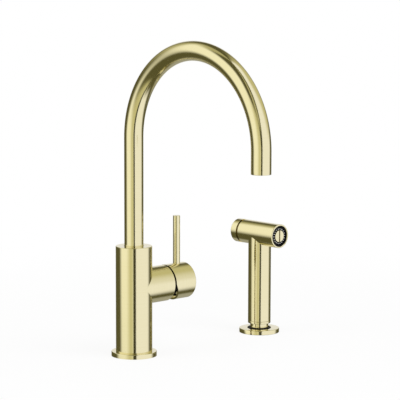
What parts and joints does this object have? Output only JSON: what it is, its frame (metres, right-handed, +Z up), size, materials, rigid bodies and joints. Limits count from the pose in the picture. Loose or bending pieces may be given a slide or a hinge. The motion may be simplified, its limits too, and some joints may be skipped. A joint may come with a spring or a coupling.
{
  "type": "side spray kitchen faucet",
  "caption": "Gooseneck kitchen mixer tap with a side lever, a swivelling spout and a pull-out side spray in its own worktop holder, in brushed brass.",
  "frame": {"origin": "centre of the main flange, on the worktop plane", "axes": "+Z up along the column, -Y the way the spout reaches, +X towards the handle and the side spray"},
  "size_m": [0.2536, 0.2521, 0.4134],
  "materials": {
    "brushed_brass": "satin, fine brush lines round the tubes, pale greenish gold",
    "plain_brass": "as machined",
    "stainless_steel": "plain",
    "black_plastic": "fine moulded matt",
    "pale_plastic": "moulded",
    "black_rubber": "moulded",
    "grey_silicone": "soft satin",
    "white_ceramic": "lapped"
  },
  "bodies": {
    "base": {"base_flange": "brushed_brass", "base_seal": "black_rubber", "column_shell": "brushed_brass", "side_stub": "brushed_brass", "water_core": "plain_brass", "mounting_shank": "plain_brass", "deck_gaskets": "black_rubber", "deck_washers": "stainless_steel", "shank_nuts": "plain_brass", "spout_glide_ring": "pale_plastic", "spout_bush": "pale_plastic", "spout_set_screw": "stainless_steel", "diverter_sleeve": "plain_brass", "diverter_cap": "pale_plastic", "diverter_spring": "stainless_steel", "cartridge_base": "pale_plastic", "cartridge_seals": "black_rubber", "cartridge_housing": "pale_plastic", "fixed_ceramic_disc": "white_ceramic", "cartridge_nut": "plain_brass", "trim_dome": "black_plastic", "spray_holder": "brushed_brass", "holder_seal": "black_rubber"},
    "diverter": {"diverter_piston": "plain_brass", "diverter_seal": "black_rubber"},
    "spout": {"spout_tube": "brushed_brass", "spout_spigot": "plain_brass", "spout_o_rings": "black_rubber", "aerator_housing": "plain_brass", "aerator_insert": "pale_plastic", "aerator_seal": "black_rubber"},
    "rotor": {"cartridge_rotor": "pale_plastic", "lever_pivot_pin": "stainless_steel"},
    "lever": {"cartridge_stem": "stainless_steel", "handle_cap": "brushed_brass", "lever_pin": "brushed_brass", "handle_set_screw": "stainless_steel"},
    "disc": {"moving_ceramic_disc": "white_ceramic", "disc_carrier": "pale_plastic"},
    "dock": {"dock_bush": "black_plastic"},
    "handset": {"spray_handle": "brushed_brass", "spray_head": "brushed_brass", "spray_spigot": "brushed_brass", "check_valve": "black_rubber", "waterway_tube": "pale_plastic", "waterway_seal": "black_rubber", "valve_block": "pale_plastic", "button_guide": "plain_brass", "stem_seal": "black_rubber", "button_spring": "stainless_steel", "nozzle_mat": "grey_silicone", "spray_plate": "black_plastic", "plate_gasket": "black_rubber", "face_screw": "brushed_brass"},
    "button": {"spray_button": "brushed_brass", "button_stem": "stainless_steel", "valve_washer": "black_rubber"}
  },
  "joints": [
    {"name": "spout_swivel", "type": "hinge", "parent": "base", "child": "spout", "pos_m": [0, 0, 0.11], "axis": [0, 0, 1], "continuous": true},
    {"name": "handle_temperature", "type": "hinge", "parent": "base", "child": "rotor", "pos_m": [0.0456, 0, 0.0789], "axis": [1, 0, 0], "range_deg": [-45, 45]},
    {"name": "handle_flow", "type": "hinge", "parent": "rotor", "child": "lever", "pos_m": [0.0456, 0, 0.0789], "axis": [0, 1, 0], "range_deg": [0, 24]},
    {"name": "disc_slide", "type": "slide", "parent": "rotor", "child": "disc", "axis": [0, 0, 1], "range_m": [0, 0.0053]},
    {"name": "diverter_slide", "type": "slide", "parent": "base", "child": "diverter", "axis": [0, 0, 1], "range_m": [0, 0.0025], "stiffness_N_per_m": 60, "springref_m": -0.002, "deforming": ["diverter_spring"]},
    {"name": "dock_swivel", "type": "hinge", "parent": "base", "child": "dock", "pos_m": [0.2024, 0, 0], "axis": [0, 0, 1], "continuous": true},
    {"name": "spray_lift", "type": "slide", "parent": "dock", "child": "handset", "axis": [0, 0, 1], "range_m": [0, 0.08]},
    {"name": "spray_button_press", "type": "slide", "parent": "handset", "child": "button", "axis": [0, -1, 0], "range_m": [0, 0.002], "stiffness_N_per_m": 900, "springref_m": -0.003, "deforming": ["button_spring"]}
  ],
  "couplings": [
    {"joint": "disc_slide", "follows": "handle_flow", "m_per_rad": 0.0121}
  ]
}
